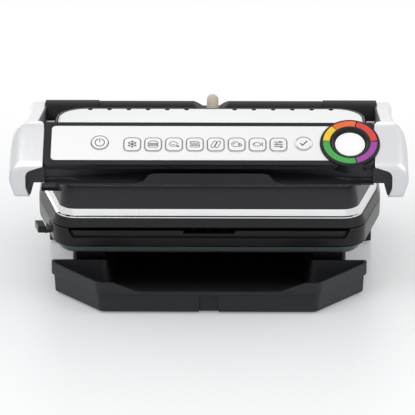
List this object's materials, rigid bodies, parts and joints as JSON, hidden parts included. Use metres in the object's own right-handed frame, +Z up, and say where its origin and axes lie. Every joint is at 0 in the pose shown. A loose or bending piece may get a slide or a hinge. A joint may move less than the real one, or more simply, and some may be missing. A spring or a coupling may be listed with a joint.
{
  "type": "electric contact grill",
  "caption": "Electric contact grill: ridged plates in a base and a floating hinged lid, a handle console with keys and a round indicator, and a sliding drip tray",
  "frame": {"origin": "on the worktop, under the middle of the overall width and depth", "axes": "+X to the right across the width, -Y towards the user, +Z up"},
  "size_m": [0.366, 0.345, 0.1684],
  "materials": {
    "body_plastic": "fine satin",
    "pan_plastic": "satin",
    "shell_plastic": "satin",
    "console_plastic": "fine satin",
    "tray_plastic": "satin",
    "coated_plate": "non-stick coating on cast aluminium",
    "silver_paint": "fine metallic silver paint on plastic",
    "lid_steel": "brushed front to back",
    "polished_steel": "polished",
    "fascia_steel": "fine brushed, printed",
    "heater_steel": "drawn tube",
    "reflector_steel": "bright sheet",
    "pin_steel": "turned",
    "bush_brass": "turned",
    "circuit_board": "laminate",
    "rubber_black": "matte",
    "rubber_grey": "matte",
    "sleeve_braid": "braided glass-fibre sleeve",
    "key_silver": "silver membrane, printed",
    "window_yellow": "translucent",
    "window_orange": "translucent",
    "window_red": "translucent",
    "window_purple": "translucent",
    "window_green": "translucent",
    "lens_white": "opal"
  },
  "bodies": {
    "base": {"base_shell": "body_plastic", "belly_pan": "pan_plastic", "lower_housing": "body_plastic", "bottom_cover": "body_plastic", "rubber_feet": "rubber_black", "rear_housing": "body_plastic", "hinge_pins": "pin_steel", "lower_plate": "coated_plate", "lower_heater": "heater_steel", "lower_reflector": "reflector_steel", "lower_sensor": "heater_steel", "power_board": "circuit_board", "cord_grommet": "rubber_black", "base_screws": "pin_steel", "sleeve_gland_base": "body_plastic", "wiring_sleeve": "sleeve_braid"},
    "handle": {"arm_left": "silver_paint", "arm_right": "silver_paint", "knuckle_left": "body_plastic", "knuckle_right": "body_plastic", "hinge_bushes": "bush_brass", "console_housing": "console_plastic", "console_lip": "shell_plastic", "panel_frame": "console_plastic", "fascia": "fascia_steel", "indicator_bezel": "console_plastic", "window_yellow": "window_yellow", "window_orange": "window_orange", "window_red": "window_red", "window_purple": "window_purple", "window_green": "window_green", "indicator_lens": "lens_white", "control_board": "circuit_board", "key_mat": "rubber_grey"},
    "lid": {"lid_cover": "lid_steel", "lid_shell": "shell_plastic", "lid_skirt": "polished_steel", "lid_frame": "body_plastic", "upper_plate": "coated_plate", "upper_heater": "heater_steel", "upper_reflector": "reflector_steel", "upper_sensor": "heater_steel", "lid_pivot_pins": "pin_steel", "sleeve_gland_lid": "body_plastic"},
    "tray": {"drip_tray": "tray_plastic"},
    "lower_lever": {"lower_release": "body_plastic"},
    "upper_button": {"upper_release": "body_plastic"},
    "key_power": {"key_power": "key_silver"},
    "key_frozen": {"key_frozen": "key_silver"},
    "key_burger": {"key_burger": "key_silver"},
    "key_poultry": {"key_poultry": "key_silver"},
    "key_sandwich": {"key_sandwich": "key_silver"},
    "key_sausage": {"key_sausage": "key_silver"},
    "key_meat": {"key_meat": "key_silver"},
    "key_fish": {"key_fish": "key_silver"},
    "key_manual": {"key_manual": "key_silver"},
    "key_confirm": {"key_confirm": "key_silver"}
  },
  "joints": [
    {"name": "handle_hinge", "type": "hinge", "parent": "base", "child": "handle", "pos_m": [0, 0.142, 0.1035], "axis": [-1, 0, 0], "range_deg": [0, 95], "deforming": ["wiring_sleeve"]},
    {"name": "lid_tilt", "type": "hinge", "parent": "handle", "child": "lid", "pos_m": [0, 0.1, 0.11], "axis": [-1, 0, 0], "range_deg": [0, 1.5], "deforming": ["wiring_sleeve"]},
    {"name": "tray_slide", "type": "slide", "parent": "base", "child": "tray", "axis": [0, -1, 0], "range_m": [0, 0.11]},
    {"name": "lower_lever_push", "type": "slide", "parent": "base", "child": "lower_lever", "axis": [1, 0, 0], "range_m": [0, 0.003], "stiffness_N_per_m": 400},
    {"name": "upper_button_push", "type": "slide", "parent": "lid", "child": "upper_button", "axis": [1, 0, 0], "range_m": [0, 0.003], "stiffness_N_per_m": 400},
    {"name": "press_power", "type": "slide", "parent": "handle", "child": "key_power", "axis": [0, 0.5878, -0.809], "range_m": [0, 0.0006], "stiffness_N_per_m": 800},
    {"name": "press_frozen", "type": "slide", "parent": "handle", "child": "key_frozen", "axis": [0, 0.5878, -0.809], "range_m": [0, 0.0006], "stiffness_N_per_m": 800},
    {"name": "press_burger", "type": "slide", "parent": "handle", "child": "key_burger", "axis": [0, 0.5878, -0.809], "range_m": [0, 0.0006], "stiffness_N_per_m": 800},
    {"name": "press_poultry", "type": "slide", "parent": "handle", "child": "key_poultry", "axis": [0, 0.5878, -0.809], "range_m": [0, 0.0006], "stiffness_N_per_m": 800},
    {"name": "press_sandwich", "type": "slide", "parent": "handle", "child": "key_sandwich", "axis": [0, 0.5878, -0.809], "range_m": [0, 0.0006], "stiffness_N_per_m": 800},
    {"name": "press_sausage", "type": "slide", "parent": "handle", "child": "key_sausage", "axis": [0, 0.5878, -0.809], "range_m": [0, 0.0006], "stiffness_N_per_m": 800},
    {"name": "press_meat", "type": "slide", "parent": "handle", "child": "key_meat", "axis": [0, 0.5878, -0.809], "range_m": [0, 0.0006], "stiffness_N_per_m": 800},
    {"name": "press_fish", "type": "slide", "parent": "handle", "child": "key_fish", "axis": [0, 0.5878, -0.809], "range_m": [0, 0.0006], "stiffness_N_per_m": 800},
    {"name": "press_manual", "type": "slide", "parent": "handle", "child": "key_manual", "axis": [0, 0.5878, -0.809], "range_m": [0, 0.0006], "stiffness_N_per_m": 800},
    {"name": "press_confirm", "type": "slide", "parent": "handle", "child": "key_confirm", "axis": [0, 0.5878, -0.809], "range_m": [0, 0.0006], "stiffness_N_per_m": 800}
  ]
}
